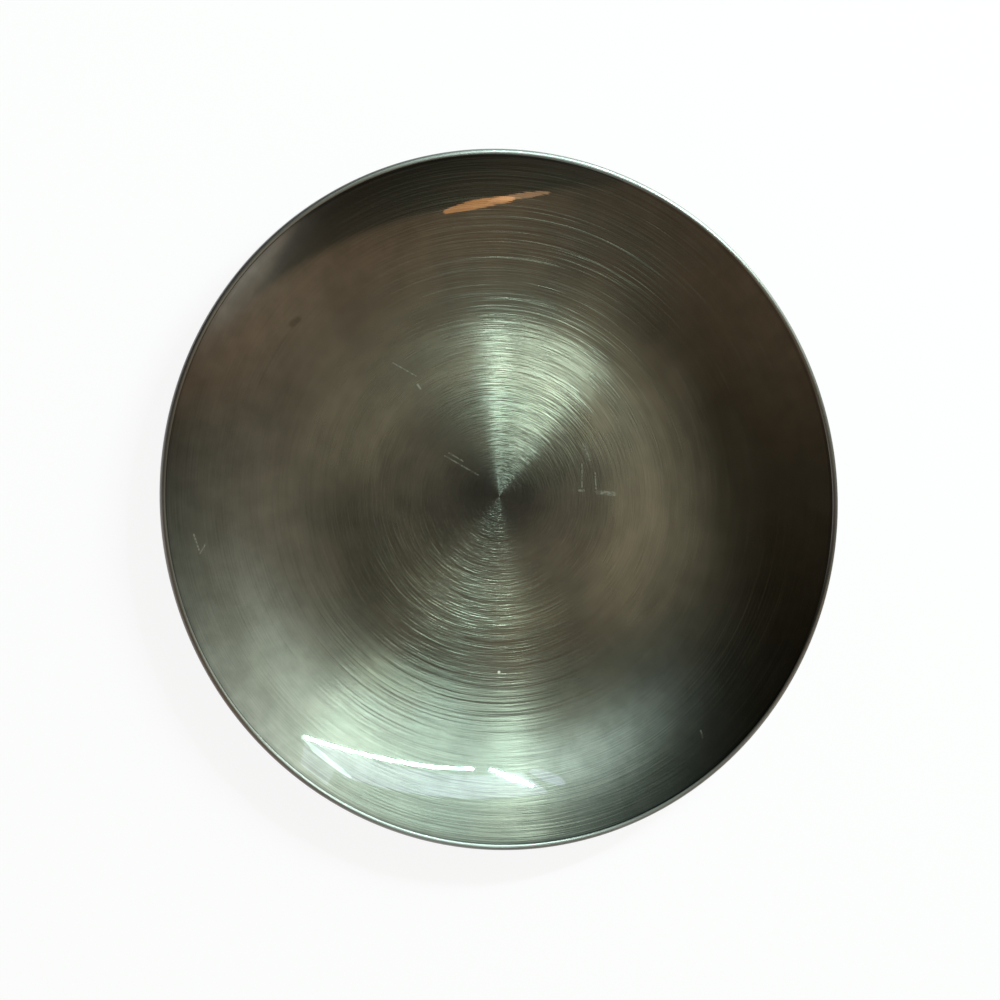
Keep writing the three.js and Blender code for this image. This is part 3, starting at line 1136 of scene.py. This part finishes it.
# %% Lamps under the ceiling
CEILING = 1.5
LAYER = 0.01
STRIP_WIDTH = 0.009
LAMP_TINT = (0.70, 1.0, 0.93)
PANEL_TINT = (0.65, 0.66, 1.0)
WARM_TINT = (1.0, 0.45, 0.15)
SHADE_TINT = (1.0, 0.56, 0.28)


def ceiling_lamp(name, start, end, width, level, tint, shape="RECTANGLE", layer=0):
    run = (Vector(end) - Vector(start)) * CEILING
    middle = (Vector(start) + Vector(end)) * CEILING / 2
    data = bpy.data.lights.new(name, "AREA")
    data.shape = shape
    data.size, data.size_y = run.length, width
    area = run.length * width * (math.pi / 4 if shape == "ELLIPSE" else 1)
    data.energy = level * math.pi * area
    data.color = tint
    thing = bpy.data.objects.new(name, data)
    thing.location = (middle.x, middle.y, CEILING + layer * LAYER)
    thing.rotation_euler = (0, 0, math.atan2(run.y, run.x))
    bpy.context.scene.collection.objects.link(thing)
    print("lamp:", name, round(data.energy, 2), "watts")


ceiling_lamp("long_strip", (0.845, 0.648), (0.362, 0.486), STRIP_WIDTH, 1100, LAMP_TINT)
ceiling_lamp("strip_end", (0.925, 0.675), (0.845, 0.648), STRIP_WIDTH, 750, LAMP_TINT)
ceiling_lamp("left_strip", (0.945, 0.685), (0.820, 0.795), 0.10, 4.5, LAMP_TINT, "ELLIPSE")
ceiling_lamp("right_strip", (0.330, 0.478), (0.266, 0.590), 0.011, 1600, LAMP_TINT, "ELLIPSE")
ceiling_lamp("panel", (0.885, 0.75), (0.258, 0.573), 0.22, 1.7, PANEL_TINT, layer=1)
ceiling_lamp("left_panel", (0.93, 0.76), (1.10, 0.95), 0.16, 1.0, PANEL_TINT, layer=2)
ceiling_lamp("right_panel", (0.262, 0.485), (0.205, 0.610), 0.055, 1.6, PANEL_TINT, "ELLIPSE", 2)
ceiling_lamp("warm_lamp", (0.434, -0.457), (0.290, -0.522), 0.085, 3.0, WARM_TINT, "ELLIPSE")
ceiling_lamp("warm_shade", (0.350, -0.500), (0.217, -0.580), 0.050, 1.9, SHADE_TINT, "ELLIPSE", 1)

# %% [markdown]
# ## Room
# Everything else that the lacquer shows is a dark room with soft glows: the pale crescent round the
# strips, a paler side on the left, and a brown ceiling that ends in a slanted edge on the upper wall. A
# photo of a room could be wrapped round the scene. A few glows in the world's own nodes, each a direction,
# a spread in degrees and a light, do the same and can be moved one by one.

# %% Glows in a dark room
ROOM_DARK = (0.006, 0.005, 0.004, 1)
ROOM_GLOWS = [
    ((0.29, 0.51, 0.81), 11, (1.15, 1.48, 1.28)),
    ((0.68, 0.64, 0.36), 15, (2.2, 2.5, 2.0)),
    ((0.70, 0.49, 0.52), 6, (1.0, 1.1, 1.0)),
    ((0.57, 0.36, 0.74), 6, (1.35, 1.6, 1.35)),
    ((0.63, 0.08, 0.77), 15, (0.44, 0.38, 0.28)),
    ((-0.50, -0.70, 0.50), 22, (0.36, 0.26, 0.17)),
    ((-0.96, 0.00, 0.27), 12, (1.00, 0.98, 0.92)),
    ((0.00, -0.98, 0.20), 11, (1.00, 1.15, 1.05)),
    ((0.25, 0.92, 0.30), 13, (0.28, 0.50, 0.46)),
    ((0.15, 0.47, 0.87), 5.5, (1.75, 2.30, 2.00)),
    ((-0.50, 0.00, 0.86), 20, (0.05, 0.04, 0.02)),
    ((0.786, -0.373, 0.491), 5, (1.10, 1.20, 1.10)),
]


def glow(tree, direction, towards, spread):
    sharpness = 1 / math.radians(spread) ** 2
    facing = vector(tree, "DOT_PRODUCT", direction, Vector(towards).normalized())
    return calc(tree, "EXPONENT", product(tree, calc(tree, "SUBTRACT", facing, 1.0), sharpness))


print("glows:", len(ROOM_GLOWS))

# %% The brown ceiling and its edge
BROWN_CEILING = (0.38, 0.245, 0.14)
CEILING_EDGE = -0.56
EDGE_BLUR = 0.04
EDGE_BEND_FROM, EDGE_BEND = 0.4, 0.5
EDGE_SLANT_FROM, EDGE_SLANT = 0.5, 0.12
RIGHT_END = (1.10, 1.25)
LEFT_END = (-0.05, 0.45)
LEFT_LIGHT = 0.3
OVERHEAD = (-0.40, 0.0)
LOW_WALLS = (0.05, 0.40)
LEAST_HEIGHT = 0.001


def ceiling_share(tree, direction):
    parts = add(tree, "ShaderNodeSeparateXYZ", {"Vector": direction}).outputs
    height = calc(tree, "MAXIMUM", parts["Z"], LEAST_HEIGHT)
    sideways = calc(tree, "DIVIDE", parts["X"], height)
    forwards = calc(tree, "DIVIDE", parts["Y"], height)
    bend = calc(tree, "MAXIMUM", calc(tree, "SUBTRACT", EDGE_BEND_FROM, sideways), 0.0)
    slant = calc(tree, "SUBTRACT", EDGE_SLANT_FROM, sideways)
    reach = total(tree, forwards, product(tree, bend, EDGE_BEND), product(tree, slant, EDGE_SLANT))
    edge = share(tree, reach, CEILING_EDGE - EDGE_BLUR, CEILING_EDGE + EDGE_BLUR, "SMOOTHSTEP")
    edge = calc(tree, "MAXIMUM", edge, share(tree, sideways, *RIGHT_END, "SMOOTHSTEP"))
    overhead = remap(tree, forwards, *OVERHEAD, 1.0, 0.0, "SMOOTHSTEP")
    left_end = remap(tree, sideways, *LEFT_END, LEFT_LIGHT, 1.0, "SMOOTHSTEP")
    above = share(tree, parts["Z"], *LOW_WALLS, "SMOOTHSTEP")
    return product(tree, edge, overhead, left_end, above)


# %% The room itself
def make_room():
    world = bpy.data.worlds.new("room")
    world.use_nodes = True
    tree = world.node_tree
    tree.nodes.clear()
    direction = add(tree, "ShaderNodeTexCoord").outputs["Generated"]
    colour = add(tree, "ShaderNodeRGB").outputs[0]
    colour.default_value = ROOM_DARK
    for towards, spread, light in ROOM_GLOWS:
        colour = vector(tree, "ADD", colour, stretch(tree, light, glow(tree, direction, towards, spread)))
    colour = vector(tree, "ADD", colour, stretch(tree, BROWN_CEILING, ceiling_share(tree, direction)))
    background = add(tree, "ShaderNodeBackground", {"Color": colour, "Strength": 1.0})
    output = tree.nodes.new("ShaderNodeOutputWorld")
    tree.links.new(background.outputs[0], output.inputs["Surface"])
    bpy.context.scene.world = world
    print("room:", len(tree.nodes), "nodes")


make_room()
